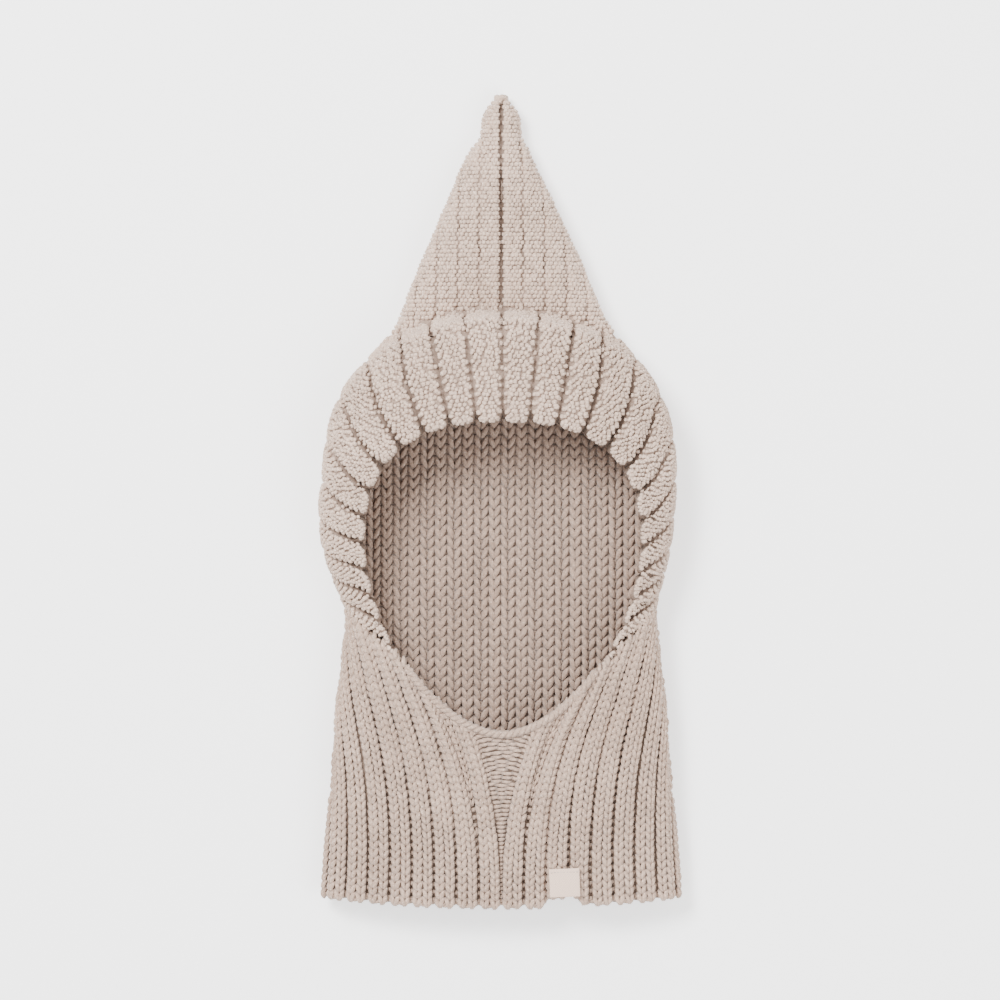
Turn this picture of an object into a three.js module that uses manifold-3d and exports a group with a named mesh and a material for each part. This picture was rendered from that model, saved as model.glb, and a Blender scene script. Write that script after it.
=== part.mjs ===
// A knitted pixie hood, laid on its back: a ribbed neck tube, a hood with a pointed peak and a wide
// face opening, and a small woven tab at the hem. Millimetres, +Z up. The back lies on Z = 0, the
// peak points along +Y and the face opening looks up along +Z.

import * as THREE from 'three';
import { mergeVertices } from 'three/addons/utils/BufferGeometryUtils.js';
import Module from 'manifold-3d';

// Lengths along the back, from the hem to the tip
const neckHeight = 146.5;
const headHeight = 152;
const peakHeight = 107;

// Widths of the flat hood
const hemWidth = 181;
const waistWidth = 155;
const headWidth = 178;
const peakBaseWidth = 99;
const tipWidth = 19.5;

// How high the front stands above the floor
const hemRise = 27;
const neckRise = 33;
const headRise = 57;
const peakRise = 27;
const tipRise = 16;

// The knitted wall and its ribs
const wall = 4.6;
const neckRibDepth = 1.3;
const bandRibDepth = 2.3;
const peakRibDepth = 1.5;
const neckRibs = 34;
const hoodRibsPerSide = 13;

// The face opening, drawn from its widest level
const faceWidth = 137;
const faceAbove = 60;
const faceBelow = 95;
const faceLevel = 34.5;
const faceShift = 0.8;
const faceTopPower = 2.5;
const faceBottomPower = 1.75;

// The fold where the face band bulges over the foot of the peak
const foldRun = 6;
const foldDrop = 11;

// The seam between neck and hood
const seamDrop = 68;
const seamPower = 1.553;
const seamGap = 0.5;
const seamCorner = 47;

// The hem's dip to its middle, and the gathered tip above the hollow
const hemDip = 5;
const tipSolid = 24;

// The face band: its usual width, the notches between its rib ends, and the peak's share of its ribs
const bandWidth = 60;
const edgeNotch = 1.6;
const peakShare = 0.34;

// Cloth that each sheet has past the seam before it is trimmed
const extraRibs = 2;
const lastShare = (hoodRibsPerSide + extraRibs) / hoodRibsPerSide;
const backFoot = 50;
const seamLap = 7;

// Places along a line where the sheets have points, close together round the outline
const BACK_STEPS = [0.02, 0.07, 0.16, 0.34, 0.64, 1];
const TO_FOLD = [0, 0.1, 0.3, 0.62, 0.97];
const FROM_FOLD = [0.04, 0.09, 0.19, 0.32, 0.47, 0.62, 0.77, 0.9, 1];
const leastFold = 0.14;
const NECK_STEPS = [0, 0.07, 0.25, 0.45, 0.63, 0.8, 0.92, 1];

// How the neck's front ribs fan out under the face opening
const fanShare = 0.3;
const fanRun = 0.08;

// The woven tab at the hem, and the notch that it sits in
const tabWidth = 15;
const tabHeight = 14;
const tabThick = 1.2;
const tabFromMiddle = 31.5;
const tabNotch = 4.4;
const tabGap = 0.35;

// Outline tables. Each width is a share of the named half width, left and right.
const NECK = [
  // up: share of the neck's height; flare: 1 at the hem's width, 0 at the waist's
  { up: 0, flare: 1 },
  { up: 0.28, flare: 0.76 },
  { up: 0.47, flare: 0.56 },
  { up: 0.69, flare: 0.36 },
  { up: 0.87, flare: 0.12 },
  { up: 1, flare: 0 },
];
const HEAD = [
  { up: 0.05, left: 0.905, right: 0.885 },
  { up: 0.14, left: 0.965, right: 0.925 },
  { up: 0.24, left: 1.012, right: 0.958 },
  { up: 0.34, left: 1.024, right: 0.975 },
  { up: 0.45, left: 1.006, right: 0.984 },
  { up: 0.54, left: 0.992, right: 0.976 },
  { up: 0.63, left: 0.962, right: 0.95 },
  { up: 0.735, left: 0.888, right: 0.882 },
  { up: 0.825, left: 0.768, right: 0.78 },
  { up: 0.89, left: 0.665, right: 0.684 },
  { up: 0.95, left: 0.592, right: 0.606 },
];
const PEAK = [
  { up: 0, left: 1, right: 1.01 },
  { up: 0.19, left: 0.84, right: 0.84 },
  { up: 0.34, left: 0.7, right: 0.69 },
  { up: 0.49, left: 0.56, right: 0.54 },
  { up: 0.68, left: 0.39, right: 0.34 },
  { up: 0.74, left: 0.32, right: 0.285 },
];
const TIP = [
  // the gathered end: up is a share of the peak's height, widths are shares of the tip's
  { up: 0.81, left: 1.08, right: 1.06 },
  { up: 0.88, left: 1, right: 1 },
  { up: 0.925, left: 0.86, right: 0.84 },
  { up: 0.955, left: 0.6, right: 0.56 },
  { up: 0.985, left: 0.34, right: 0.32 },
];

// Heights of the front's crown and of the widest line, in the same order up the hood
const headFoot = neckHeight;
const peakFoot = neckHeight + headHeight;
const tipTop = neckHeight + headHeight + peakHeight;

const CROWN = [
  { y: 0, front: hemRise, rim: 0.42 * hemRise },
  { y: 0.6 * neckHeight, front: neckRise, rim: 0.42 * neckRise },
  { y: headFoot, front: 0.76 * headRise, rim: 0.28 * headRise },
  { y: headFoot + 0.3 * headHeight, front: 0.95 * headRise, rim: 0.38 * headRise },
  { y: headFoot + 0.62 * headHeight, front: headRise, rim: 0.4 * headRise },
  { y: headFoot + 0.85 * headHeight, front: headRise, rim: 0.33 * headRise },
  { y: peakFoot, front: 0.93 * headRise, rim: 0.45 * peakRise },
  { y: peakFoot + 0.4 * peakHeight, front: 0.7 * headRise, rim: 0.45 * peakRise },
  { y: peakFoot + 0.8 * peakHeight, front: 0.4 * headRise, rim: 0.45 * tipRise },
  { y: tipTop, front: 0.7 * tipRise, rim: 0.4 * tipRise },
];
const PEAK_CROWN = [
  { y: 0, front: peakRise },
  { y: peakFoot, front: peakRise },
  { y: peakFoot + 0.45 * peakHeight, front: 0.9 * peakRise },
  { y: peakFoot + 0.78 * peakHeight, front: 1.06 * tipRise },
  { y: peakFoot + 0.9 * peakHeight, front: tipRise },
  { y: tipTop, front: 0.7 * tipRise },
];

// A smooth curve through rows of a table, without overshoot
function rowSlopes(rows, from, to) {
  const steps = rows.slice(1).map((row, i) => (row[to] - rows[i][to]) / (row[from] - rows[i][from]));
  return rows.map((row, i) => {
    if (i === 0) return steps[0];
    if (i === rows.length - 1) return steps[i - 1];
    const before = steps[i - 1];
    const after = steps[i];
    return before * after <= 0 ? 0 : (2 * before * after) / (before + after);
  });
}

function smoothRows(rows, from, to) {
  const slopes = rowSlopes(rows, from, to);
  return (value) => {
    const at = THREE.MathUtils.clamp(value, rows[0][from], rows[rows.length - 1][from]);
    let i = 0;
    while (i < rows.length - 2 && at > rows[i + 1][from]) i += 1;
    const run = rows[i + 1][from] - rows[i][from];
    const t = (at - rows[i][from]) / run;
    const a = rows[i][to] * (1 + 2 * t) * (1 - t) ** 2 + rows[i + 1][to] * (3 - 2 * t) * t ** 2;
    return a + run * (slopes[i] * t * (1 - t) ** 2 - slopes[i + 1] * t ** 2 * (1 - t));
  };
}

function outlineRows(side) {
  const neck = NECK.map((row) => ({
    y: row.up * neckHeight,
    half: (waistWidth + row.flare * (hemWidth - waistWidth)) / 2,
  }));
  const head = HEAD.map((row) => ({
    y: headFoot + row.up * headHeight,
    half: (row[side] * headWidth) / 2,
  }));
  const peak = PEAK.map((row) => ({
    y: peakFoot + row.up * peakHeight,
    half: (row[side] * peakBaseWidth) / 2,
  }));
  const tip = TIP.map((row) => ({
    y: peakFoot + row.up * peakHeight,
    half: (row[side] * tipWidth) / 2,
  }));
  return [...neck, ...head, ...peak, ...tip, { y: tipTop, half: 0 }];
}

const halfWidth = {
  left: smoothRows(outlineRows('left'), 'y', 'half'),
  right: smoothRows(outlineRows('right'), 'y', 'half'),
};
const headCrown = smoothRows(CROWN, 'y', 'front');
const rimHeight = smoothRows(CROWN, 'y', 'rim');
const peakCrown = smoothRows(PEAK_CROWN, 'y', 'front');

const smoothStep = (t) => THREE.MathUtils.smoothstep(t, 0, 1);

// The form of the hood, drawn in by an inset: 0 is its outer skin and the wall its hollow
class Form {
  constructor(inset) {
    this.inset = inset;
    this.top = tipTop - (inset > 0 ? tipSolid : 0);
  }

  half(y, side) {
    if (this.inset === 0) return halfWidth[side](y);
    const rounding = 3 * this.inset;
    const near = THREE.MathUtils.clamp((y - (this.top - rounding)) / rounding, 0, 1);
    return (halfWidth[side](y) - 1.1 * this.inset) * Math.sqrt(1 - near ** 2);
  }

  across(x, y) {
    const half = this.half(y, x < 0 ? 'left' : 'right');
    return half > 0 ? Math.min(Math.abs(x) / half, 1) : 1;
  }

  fold(x) {
    return peakFoot - foldDrop * (x / (peakBaseWidth / 2)) ** 2 - this.inset;
  }

  crown(x, y) {
    const band = smoothStep((this.fold(x) - y) / foldRun);
    return THREE.MathUtils.lerp(peakCrown(y), headCrown(y), band) - this.inset;
  }

  front(x, y) {
    const rim = rimHeight(y);
    const power = THREE.MathUtils.lerp(2.5, 2.2, smoothStep((y - headFoot + 40) / 80));
    const rise = Math.max(this.crown(x, y) - rim, 0.5);
    return rim + rise * (1 - this.across(x, y) ** power) ** (1 / power);
  }

  back(x, y) {
    const rim = rimHeight(y) - this.inset;
    const half = this.half(y, x < 0 ? 'left' : 'right');
    const round = Math.min(1.3 * rim, 0.6 * half);
    const inside = Math.min((1 - this.across(x, y)) * half, round);
    const drop = round > 0 ? Math.sqrt(1 - (1 - inside / round) ** 2) : 0;
    return this.inset + rim * (1 - drop);
  }
}

const skin = new Form(0);
const hollow = new Form(wall);

// A polyline read by its length from the first point, in millimetres
function readByLength(points) {
  const lengths = [0];
  for (let i = 1; i < points.length; i += 1) {
    lengths.push(lengths[i - 1] + points[i].distanceTo(points[i - 1]));
  }
  const total = lengths[lengths.length - 1];
  const read = (length) => {
    const at = THREE.MathUtils.clamp(length, 0, total);
    let i = 0;
    while (i < points.length - 2 && at > lengths[i + 1]) i += 1;
    const t = (at - lengths[i]) / (lengths[i + 1] - lengths[i]);
    return points[i].clone().lerp(points[i + 1], t);
  };
  return { read, total };
}

// The edge of the face opening, by a turn from its top (0) to its bottom (1)
function facePoint(sign, turn) {
  const up = Math.cos(turn * Math.PI);
  const out = Math.sin(turn * Math.PI);
  const power = up > 0 ? faceTopPower : faceBottomPower;
  const reach = up > 0 ? faceAbove : faceBelow;
  const x = (faceWidth / 2) * out ** (2 / power);
  const y = reach * Math.sign(up) * Math.abs(up) ** (2 / power);
  return new THREE.Vector2(faceShift + sign * x, headFoot + faceLevel + y);
}

// The seam's level: round the back it dips to the nape, and in front it runs to the face edge
const seamShare = (x, power) => (Math.abs(x) / (waistWidth / 2)) ** power;
const backSeam = (x) => headFoot - seamDrop * (1 - seamShare(x, seamPower));

const fine = 300;
const steps = (from, to) => Array.from({ length: fine + 1 }, (_, i) => from + ((to - from) * i) / fine);

// Each side's edges: the face edge down from its top, and the outline down from the tip
function sideEdges(sign) {
  const side = sign < 0 ? 'left' : 'right';
  const turns = steps(0, 1);
  const face = readByLength(turns.map((turn) => facePoint(sign, turn)));
  const cornerTurn = turns.find((turn) => turn > 0.5 && Math.abs(facePoint(sign, turn).x) < seamCorner);
  const toCorner = readByLength(steps(0, cornerTurn).map((turn) => facePoint(sign, turn))).total;
  const cornerShare = 1 - (headFoot - facePoint(sign, cornerTurn).y) / seamDrop;
  const frontPower = Math.log(cornerShare) / Math.log(seamShare(seamCorner, 1));
  const frontSeam = (x) => headFoot - seamDrop * (1 - seamShare(x, frontPower));
  const outline = (form) => {
    const down = (foot) => steps(0, 1).map((t) => {
      const y = form.top - (form.top - foot) * t ** 1.6;
      return new THREE.Vector2(sign * form.half(y, side), y);
    });
    return { toWaist: readByLength(down(headFoot)).total, edge: readByLength(down(headFoot / 2)) };
  };
  return {
    sign, side, face, cornerTurn, toCorner, frontSeam, skin: outline(skin), hollow: outline(hollow),
  };
}
const sides = { left: sideEdges(-1), right: sideEdges(1) };

// A thick sheet: two grids of points, joined at their borders into one closed body
function sheetSolid(outer, inner, round) {
  const rows = outer.length;
  const columns = outer[0].length;
  const positions = [...outer.flat(), ...inner.flat()].flatMap((p) => [p.x, p.y, p.z]);
  const faces = [];
  const at = (layer, i, j) => layer * rows * columns + i * columns + (j % columns);
  const quad = (a, b, c, d) => faces.push(a, b, c, a, c, d);
  const lastColumn = round ? columns : columns - 1;
  for (let j = 0; j < lastColumn; j += 1) {
    for (let i = 0; i < rows - 1; i += 1) {
      quad(at(0, i, j), at(0, i, j + 1), at(0, i + 1, j + 1), at(0, i + 1, j));
      quad(at(1, i, j), at(1, i + 1, j), at(1, i + 1, j + 1), at(1, i, j + 1));
    }
    quad(at(0, 0, j + 1), at(0, 0, j), at(1, 0, j), at(1, 0, j + 1));
    quad(at(0, rows - 1, j), at(0, rows - 1, j + 1), at(1, rows - 1, j + 1), at(1, rows - 1, j));
  }
  for (let i = 0; i < rows - 1 && !round; i += 1) {
    const end = columns - 1;
    quad(at(0, i, 0), at(0, i + 1, 0), at(1, i + 1, 0), at(1, i, 0));
    quad(at(0, i + 1, end), at(0, i, end), at(1, i, end), at(1, i + 1, end));
  }
  const geometry = new THREE.BufferGeometry();
  geometry.setAttribute('position', new THREE.Float32BufferAttribute(positions, 3));
  geometry.setIndex(faces);
  return geometry;
}

const wasm = await Module();
wasm.setup();

function toSolid(geometry) {
  const source = geometry.clone();
  source.deleteAttribute('normal');
  source.deleteAttribute('uv');
  const merged = mergeVertices(source);
  return new wasm.Manifold(new wasm.Mesh({
    numProp: 3,
    vertProperties: new Float32Array(merged.attributes.position.array),
    triVerts: new Uint32Array(merged.index.array),
  }));
}

function toGeometry(solid) {
  const mesh = solid.getMesh();
  const geometry = new THREE.BufferGeometry();
  geometry.setAttribute('position', new THREE.BufferAttribute(mesh.vertProperties, mesh.numProp));
  geometry.setIndex(new THREE.BufferAttribute(mesh.triVerts, 1));
  return geometry;
}

// Each rib has a groove at its side and a round back between two shoulders
const RIB = [{ at: 0, groove: true }, { at: 0.28, groove: false }, { at: 0.72, groove: false }];
const RIB_AT_TIP = [
  { at: 0, groove: true },
  { at: 0.28, groove: false },
  { at: 0.5, groove: false },
  { at: 0.72, groove: false },
  { at: 0.86, groove: false },
];

// The front's skin pressed in along its own slope, so that a groove is as deep on a steep side
function pressed(form, x, y, depth) {
  const step = 0.5;
  const slope = (a, b) => THREE.MathUtils.clamp((a - b) / (2 * step), -2, 2);
  const across = slope(form.front(x + step, y), form.front(x - step, y));
  const along = slope(form.front(x, y + step), form.front(x, y - step));
  const normal = new THREE.Vector3(-across, -along, 1).normalize();
  return new THREE.Vector3(x, y, form.front(x, y)).addScaledVector(normal, -depth);
}

// Where a rib line crosses the fold at the foot of the peak, as a share of the line
function foldTurn(form, line) {
  const crossed = steps(0, 1).find((t) => {
    const at = line.getPoint(t);
    return at.y < form.fold(at.x);
  });
  return crossed ?? 0;
}

// One rib line of the hood, up its back, over the outline and down its front to the face edge
function hoodLine(form, edges, outline, share, groove) {
  const { sign } = edges;
  const spread = 0.42 * share ** 1.3 * Math.max(1 - share, 0);
  const start = outline.edge.read((share + spread) * outline.toWaist);
  const end = edges.face.read(share * edges.toCorner);
  const ahead = edges.face.read(share * edges.toCorner + 2);
  const out = new THREE.Vector2(sign * (end.y - ahead.y), sign * (ahead.x - end.x)).normalize();
  const run = start.distanceTo(end);
  const inwards = smoothStep((share - 0.12) / 0.4);
  const reach = Math.min(run, THREE.MathUtils.lerp(bandWidth, (headWidth - faceWidth) / 2, inwards));
  const lead = new THREE.Vector2(-sign * inwards, inwards - 1).setLength(0.3 * reach);
  const down = start.clone().add(lead);
  const outside = end.clone().addScaledVector(out, 0.42 * reach);
  const front = new THREE.CubicBezierCurve(start, down, outside, end);
  const foot = new THREE.Vector2(0.8 * sign * (waistWidth / 2) * (share / lastShare), backFoot);
  const inward = new THREE.Vector2(foot.x, start.y);
  const back = new THREE.QuadraticBezierCurve(start, inward, foot);
  const points = [...BACK_STEPS].reverse().map((t) => {
    const at = back.getPoint(t);
    return new THREE.Vector3(at.x, at.y, form.back(at.x, at.y));
  });
  const foldAt = Math.max(foldTurn(form, front), leastFold);
  const rows = [
    ...TO_FOLD.map((t) => ({ t: t * foldAt, depth: share < peakShare ? peakRibDepth : bandRibDepth })),
    ...FROM_FOLD.map((t) => ({ t: foldAt + t * (1 - foldAt), depth: bandRibDepth })),
  ];
  rows.forEach(({ t, depth }) => {
    const at = front.getPoint(groove && t === 1 ? 1 - edgeNotch / run : t);
    const fade = groove && form === skin ? Math.min(8 * t, 1) : 0;
    points.push(pressed(form, at.x, at.y, depth * fade));
  });
  return points;
}

// The hood's sheet, column by column from the right-hand seam over the top to the left-hand seam
function hoodSheet(form) {
  const name = form === skin ? 'skin' : 'hollow';
  const half = (edges) => {
    const columns = [];
    for (let rib = hoodRibsPerSide + extraRibs; rib > 0; rib -= 1) {
      (rib === 1 ? RIB_AT_TIP : RIB).forEach(({ at, groove }) => {
        columns.push(hoodLine(form, edges, edges[name], (rib - at) / hoodRibsPerSide, groove));
      });
    }
    return columns;
  };
  const middle = hoodLine(form, sides.right, sides.right[name], 0, true);
  return [...half(sides.right), middle, ...half(sides.left).reverse()];
}

// How far the skin has leaned over at a turn, as the flat tube's front is wide and its side short
const neckLean = (turn) => turn ** 3;

// The neck tube. A place round it is a side and a turn: 0 front, 1 the outline, 2 the back's middle.
function neckPoint(form, edges, turn, y, depth) {
  const reach = Math.min(Math.sin((turn * Math.PI) / 2), 0.9999);
  const x = edges.sign * form.half(y, edges.side) * reach;
  const z = turn <= 1 ? form.front(x, y) : form.back(x, y);
  const lean = turn <= 1 ? neckLean(turn) : 2 - neckLean(2 - turn);
  const angle = (lean * Math.PI) / 2;
  return new THREE.Vector3(
    x - edges.sign * Math.sin(angle) * depth,
    y,
    z - Math.cos(angle) * depth,
  );
}

// A ring or an edge of the neck, read by its share of length
function readTurns(edges, rows) {
  const points = rows.map(({ turn, y }) => neckPoint(skin, edges, turn, y, 0));
  const lengths = [0];
  points.slice(1).forEach((point, i) => lengths.push(lengths[i] + point.distanceTo(points[i])));
  return (share) => {
    const at = share * lengths[lengths.length - 1];
    let i = 0;
    while (i < rows.length - 2 && at > lengths[i + 1]) i += 1;
    const t = (at - lengths[i]) / (lengths[i + 1] - lengths[i] || 1);
    const { lerp } = THREE.MathUtils;
    return { turn: lerp(rows[i].turn, rows[i + 1].turn, t), y: lerp(rows[i].y, rows[i + 1].y, t) };
  };
}

// The neck's top: the bound-off face edge, then just past the seam to the middle of the back
function neckTop(edges) {
  const { sign, side } = edges;
  const turnAt = (x, y) => Math.asin(Math.min(Math.abs(x) / skin.half(y, side), 1)) / (Math.PI / 2);
  const bound = steps(1, edges.cornerTurn).map((turn) => {
    const point = facePoint(sign, turn);
    return { turn: turnAt(point.x, point.y), y: point.y };
  });
  const past = (x) => {
    const away = smoothStep((x - seamCorner) / (2 * seamLap));
    return edges.frontSeam(x) + seamLap * away;
  };
  const behind = (x) => backSeam(x) + seamLap;
  const half = waistWidth / 2;
  const front = steps(seamCorner, half).map((x) => ({ turn: turnAt(x, past(x)), y: past(x) }));
  const back = steps(half, 0).map((x) => ({ turn: 2 - turnAt(x, behind(x)), y: behind(x) }));
  const over = steps(front[fine].turn, back[0].turn).map((turn) => ({ turn, y: past(half) }));
  return readTurns(edges, [...bound, ...front, ...over, ...back]);
}

// Where the neck's ribs end round its top: they fan out to the sides from the middle of the front
const fanned = (share) => (fanShare * share) / (share + fanRun) + (1 - fanShare / (1 + fanRun)) * share;

// The hem's level round the neck: lowest in front, with a small notch over the tab
function hemLevel(edges, turn) {
  const forward = Math.max(Math.cos((turn * Math.PI) / 2), 0);
  const x = edges.sign * (hemWidth / 2) * Math.sin((turn * Math.PI) / 2);
  const beside = Math.abs(x - tabFromMiddle) / tabWidth;
  const notch = turn < 1 ? smoothStep((0.75 - beside) / 0.3) : 0;
  return hemDip * (1 - forward ** 2) + notch * tabNotch;
}

function neckSheet(form) {
  const read = Object.values(sides).map((edges) => ({
    edges,
    hem: readTurns(edges, steps(0, 2).map((turn) => ({ turn, y: 0 }))),
    top: neckTop(edges),
  }));
  const [left, right] = read;
  const columns = [];
  for (let rib = 0; rib < neckRibs; rib += 1) {
    RIB.forEach(({ at, groove }) => {
      const place = (rib + at) / neckRibs;
      const { edges, hem, top } = place < 0.5 ? right : left;
      const share = 2 * Math.min(place, 1 - place);
      const foot = hem(share);
      const head = top(fanned(share));
      const bow = foot.turn < 1 ? 2.6 : 1.4;
      columns.push(NECK_STEPS.map((t) => {
        const turn = THREE.MathUtils.lerp(foot.turn, head.turn, t ** bow);
        const y = THREE.MathUtils.lerp(hemLevel(edges, foot.turn), head.y, t);
        const depth = groove && form === skin ? neckRibDepth : 0;
        return neckPoint(form, edges, turn, y, depth);
      }));
    });
  }
  return columns;
}

// A prism over a flat outline, tall enough to pass through the hood
function prism(points, low, high) {
  const shape = new THREE.Shape(points);
  const geometry = new THREE.ExtrudeGeometry(shape, { depth: high - low, bevelEnabled: false });
  geometry.translate(0, 0, low);
  return toSolid(geometry);
}

const farX = 0.56 * waistWidth;
const split = 0.3 * headRise;
const splitLap = 1;
const seamSteps = 48;

// A seam's line from one side to the other, moved up or down by half of its gap
function seamPoints(level, from, to, shift) {
  return Array.from({ length: seamSteps + 1 }, (_, i) => {
    const x = from + ((to - from) * i) / seamSteps;
    return new THREE.Vector2(x, level(x) + shift);
  });
}

// All cloth on one side of the seam: over it for the hood, under it for the neck
function seamCut(side) {
  const shift = (-side * seamGap) / 2;
  const farY = side > 0 ? 2 * tipTop : -tipTop;
  const closed = (points, x0, x1) => [
    ...points, new THREE.Vector2(x1, farY), new THREE.Vector2(x0, farY),
  ];
  const back = seamPoints(backSeam, -farX, farX, shift);
  const backCut = prism(closed(back, -farX, farX), -headRise, split);
  const left = seamPoints(sides.left.frontSeam, -farX, -seamCorner, shift);
  const right = seamPoints(sides.right.frontSeam, seamCorner, farX, shift);
  const low = split - splitLap;
  const high = 3 * headRise;
  if (side > 0) {
    return backCut
      .add(prism(closed(left, -farX, -seamCorner), low, high))
      .add(prism(closed(right, seamCorner, farX), low, high));
  }
  return backCut.add(prism(closed([...left, ...right], -farX, farX), low, high));
}

const turned = (columns) => columns[0].map((_, i) => columns.map((column) => column[i]));
const sheet = (make, round) => toSolid(sheetSolid(turned(make(skin)), turned(make(hollow)), round));

const hoodCloth = sheet(hoodSheet, false).subtract(seamCut(-1));
const neckCloth = sheet(neckSheet, true).subtract(seamCut(1));

const group = new THREE.Group();

function place(name, geometry, colour) {
  const material = new THREE.MeshStandardMaterial({ color: colour, roughness: 0.95, metalness: 0 });
  const mesh = new THREE.Mesh(geometry, material);
  mesh.name = name;
  group.add(mesh);
  return mesh;
}

place('hood', toGeometry(hoodCloth), 0xc6b4aa);
place('neck', toGeometry(neckCloth), 0xbfaca2);

// The tab lies on the ribs just over the hem, along the slope of the neck's front
const tab = place('hem_tab', new THREE.BoxGeometry(tabWidth, tabHeight, tabThick), 0xddd0c8);
const tabY = hemLevel(sides.right, 0) + tabNotch + tabHeight / 2 + 1;
const tabTop = pressed(skin, tabFromMiddle, tabY, -(tabGap + tabThick / 2));
const tabUp = tabTop.clone().sub(pressed(skin, tabFromMiddle, tabY, 0)).normalize();
tab.position.copy(tabTop);
tab.quaternion.setFromUnitVectors(new THREE.Vector3(0, 0, 1), tabUp);

// The origin is under the middle of the whole hood
const box = new THREE.Box3().setFromObject(group);
group.position.set(-(box.min.x + box.max.x) / 2, -(box.min.y + box.max.y) / 2, -box.min.z);

export default group;
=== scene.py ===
import math

import bpy
import numpy as np
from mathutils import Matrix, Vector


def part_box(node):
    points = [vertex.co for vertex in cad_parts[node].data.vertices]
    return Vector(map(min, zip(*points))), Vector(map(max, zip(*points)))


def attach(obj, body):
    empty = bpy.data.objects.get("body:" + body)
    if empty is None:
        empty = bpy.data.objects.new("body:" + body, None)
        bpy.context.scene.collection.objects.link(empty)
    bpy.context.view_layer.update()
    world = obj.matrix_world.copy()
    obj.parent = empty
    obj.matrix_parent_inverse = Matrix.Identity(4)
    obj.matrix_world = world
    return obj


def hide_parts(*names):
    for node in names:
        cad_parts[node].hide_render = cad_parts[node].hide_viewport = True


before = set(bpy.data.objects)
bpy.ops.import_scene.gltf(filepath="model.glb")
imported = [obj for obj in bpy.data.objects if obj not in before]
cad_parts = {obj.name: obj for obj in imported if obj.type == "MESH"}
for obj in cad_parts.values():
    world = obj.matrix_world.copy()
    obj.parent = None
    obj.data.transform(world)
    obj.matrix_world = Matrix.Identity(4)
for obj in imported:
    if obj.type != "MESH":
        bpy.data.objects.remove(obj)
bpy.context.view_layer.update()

# THE HOOD'S GROUND
# The fabric of the head, face band and peak: wool-blend yarn knitted to shape, purl side out, as
# one soft wall. The piece built here is the ground of that wall, which shows between the stitches,
# in the grooves of the ribs and along the edges. Its colours are darker than the yarn's, painted
# shade of the crevices, and darker still deep in the grooves. Sizes are in millimetres.

neck_height, head_height, peak_height = 146.5, 152.0, 107.0
hem_width, waist_width, head_width, peak_base_width, tip_width = 181.0, 155.0, 178.0, 99.0, 19.5
hem_rise, neck_rise, head_rise, peak_rise, tip_rise = 27.0, 33.0, 57.0, 27.0, 16.0
wall = 4.6
head_foot = neck_height
peak_foot = neck_height + head_height
tip_top = neck_height + head_height + peak_height
tip_solid = 24.0

# Outline and height tables. Each row is a level and the sizes there, as shares of the sizes above.
NECK = [(0, 1), (0.28, 0.76), (0.47, 0.56), (0.69, 0.36), (0.87, 0.12), (1, 0)]
HEAD = [
    (0.05, 0.905, 0.885), (0.14, 0.965, 0.925), (0.24, 1.012, 0.958), (0.34, 1.024, 0.975),
    (0.45, 1.006, 0.984), (0.54, 0.992, 0.976), (0.63, 0.962, 0.95), (0.735, 0.888, 0.882),
    (0.825, 0.768, 0.78), (0.89, 0.665, 0.684), (0.95, 0.592, 0.606),
]
PEAK = [(0, 1, 1.01), (0.19, 0.84, 0.84), (0.34, 0.7, 0.69), (0.49, 0.56, 0.54), (0.68, 0.39, 0.34),
        (0.74, 0.32, 0.285)]
TIP = [(0.81, 1.08, 1.06), (0.88, 1, 1), (0.925, 0.86, 0.84), (0.955, 0.6, 0.56), (0.985, 0.34, 0.32)]


def smooth(rows, column):
    """A smooth curve through the rows of a table, without overshoot."""
    at = np.array([r[0] for r in rows], float)
    to = np.array([r[column] for r in rows], float)
    step = np.diff(to) / np.diff(at)
    inner = [0 if a * b <= 0 else 2 * a * b / (a + b) for a, b in zip(step[:-1], step[1:])]
    slope = np.r_[step[0], inner, step[-1]]

    def read(value):
        v = np.clip(value, at[0], at[-1])
        i = np.clip(np.searchsorted(at, v, "right") - 1, 0, len(at) - 2)
        run = at[i + 1] - at[i]
        t = (v - at[i]) / run
        flat = to[i] * (1 + 2 * t) * (1 - t) ** 2 + to[i + 1] * (3 - 2 * t) * t ** 2
        return flat + run * (slope[i] * t * (1 - t) ** 2 - slope[i + 1] * t ** 2 * (1 - t))

    return read


outline = [(u * neck_height, *[(waist_width + f * (hem_width - waist_width)) / 2] * 2) for u, f in NECK]
outline += [(head_foot + u * head_height, a * head_width / 2, b * head_width / 2) for u, a, b in HEAD]
outline += [(peak_foot + u * peak_height, a * peak_base_width / 2, b * peak_base_width / 2)
            for u, a, b in PEAK]
outline += [(peak_foot + u * peak_height, a * tip_width / 2, b * tip_width / 2) for u, a, b in TIP]
outline += [(tip_top, 0, 0)]
half_left, half_right = smooth(outline, 1), smooth(outline, 2)

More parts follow.
